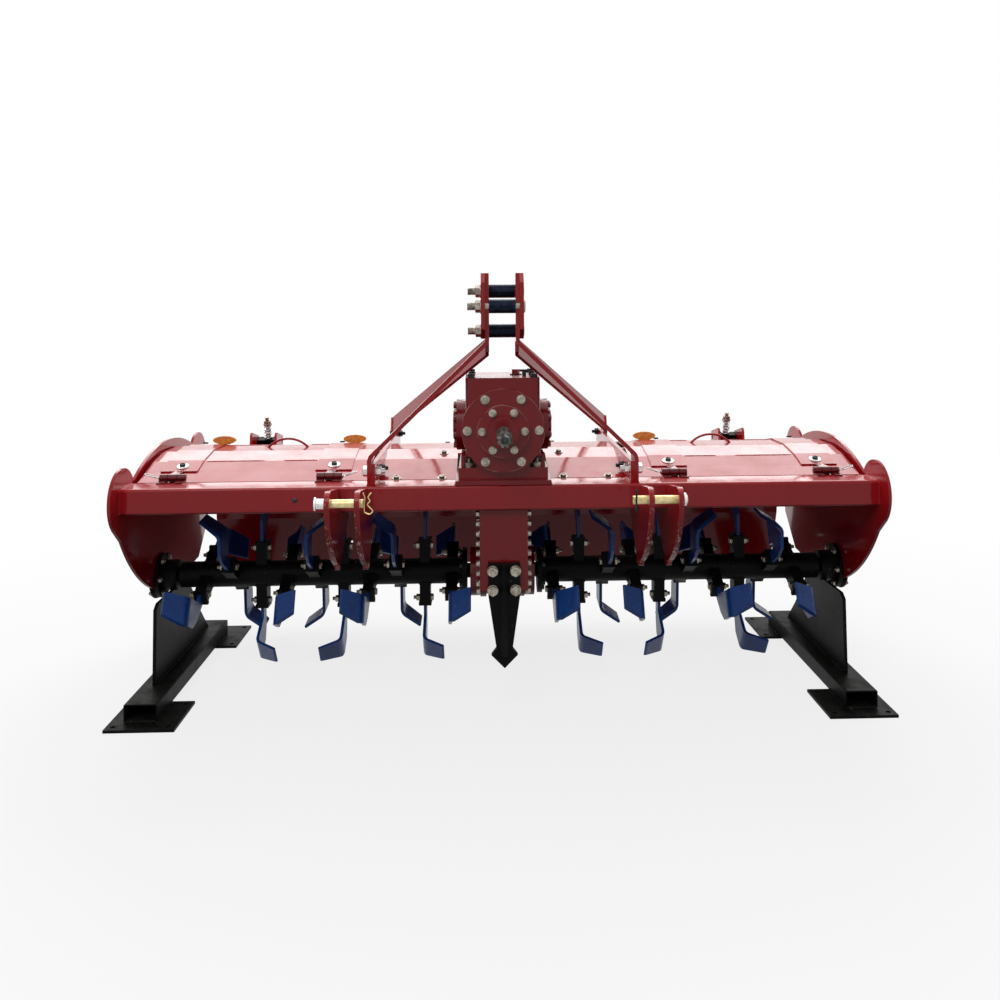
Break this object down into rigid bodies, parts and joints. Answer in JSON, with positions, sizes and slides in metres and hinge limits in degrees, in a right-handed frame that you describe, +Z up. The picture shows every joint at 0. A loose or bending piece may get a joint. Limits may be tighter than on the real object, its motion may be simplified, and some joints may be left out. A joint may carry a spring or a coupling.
{
  "type": "three-point rotary tiller on parking stands",
  "caption": "Centre-drive rotary tiller with a turning tined rotor, lifting hood covers, a swinging trailing board, a three-point mast and parking stands.",
  "frame": {"origin": "centre of the whole machine's box, on the floor under its stands", "axes": "+X to the right seen from the tractor, +Y from the tractor to the rear, +Z up"},
  "size_m": [2.127, 1.076, 1.21],
  "materials": {
    "red_paint": "gloss",
    "black_paint": "satin",
    "blue_paint": "satin",
    "zinc_yellow": "satin",
    "bright_steel": "satin",
    "amber_lens": "gloss"
  },
  "bodies": {
    "frame": {"front_beam": "red_paint", "rear_beam": "red_paint", "side_plate_left": "red_paint", "side_plate_right": "red_paint", "rotor_bearings": "black_paint", "gearbox_housing": "red_paint", "gearbox_cover": "red_paint", "input_flange": "red_paint", "side_caps": "red_paint", "drop_case": "red_paint", "ripper_tine": "black_paint", "tie_bars": "red_paint", "mast_arm_left": "red_paint", "mast_arm_right": "red_paint", "mast_bolts": "bright_steel", "mast_spacers": "black_paint", "mast_braces": "red_paint", "hitch_ears": "red_paint", "hitch_pins": "zinc_yellow", "hood_centre": "red_paint", "cover_hinges": "red_paint", "board_hinges": "red_paint", "rod_brackets": "red_paint", "stand_feet": "black_paint", "stand_rails": "black_paint", "stand_uprights": "black_paint"},
    "rotor": {"rotor_tube": "black_paint", "tines_left": "blue_paint", "tines_right": "blue_paint"},
    "input_shaft": {"input_shaft": "bright_steel"},
    "cover_left": {"cover_left": "red_paint", "cover_knuckles_left": "red_paint", "straps_left": "red_paint", "handle_left": "red_paint", "reflectors_left": "amber_lens"},
    "cover_right": {"cover_right": "red_paint", "cover_knuckles_right": "red_paint", "straps_right": "red_paint", "handle_right": "red_paint", "reflector_right": "amber_lens"},
    "trailing_board": {"trailing_board": "red_paint", "rod_lugs": "red_paint"},
    "depth_rods": {"depth_rods": "bright_steel"},
    "rod_swivels": {"rod_swivels": "black_paint", "rod_springs": "bright_steel"}
  },
  "joints": [
    {"name": "rotor_turn", "type": "hinge", "parent": "frame", "child": "rotor", "pos_m": [0, -0.018, 0.318], "axis": [1, 0, 0], "continuous": true},
    {"name": "input_turn", "type": "hinge", "parent": "frame", "child": "input_shaft", "pos_m": [0, -0.338, 0.784], "axis": [0, -1, 0], "continuous": true},
    {"name": "cover_left_lift", "type": "hinge", "parent": "frame", "child": "cover_left", "pos_m": [-0.6995, -0.231, 0.648], "axis": [1, 0, 0], "range_deg": [0, 75]},
    {"name": "cover_right_lift", "type": "hinge", "parent": "frame", "child": "cover_right", "pos_m": [0.6995, -0.231, 0.648], "axis": [1, 0, 0], "range_deg": [0, 75]},
    {"name": "board_swing", "type": "hinge", "parent": "frame", "child": "trailing_board", "pos_m": [0, 0.434, 0.57], "axis": [1, 0, 0], "range_deg": [0, 35]},
    {"name": "rod_swing", "type": "hinge", "parent": "trailing_board", "child": "depth_rods", "pos_m": [0, 0.52, 0.42], "axis": [1, 0, 0], "range_deg": [-12, 0]},
    {"name": "swivel_turn", "type": "hinge", "parent": "frame", "child": "rod_swivels", "pos_m": [0, 0.452, 0.655], "axis": [1, 0, 0], "range_deg": [0, 26]}
  ],
  "couplings": [
    {"joint": "input_turn", "follows": "rotor_turn", "ratio": 2.6},
    {"joint": "rod_swing", "follows": "board_swing", "ratio": -0.2938},
    {"joint": "swivel_turn", "follows": "board_swing", "ratio": 0.7062}
  ]
}
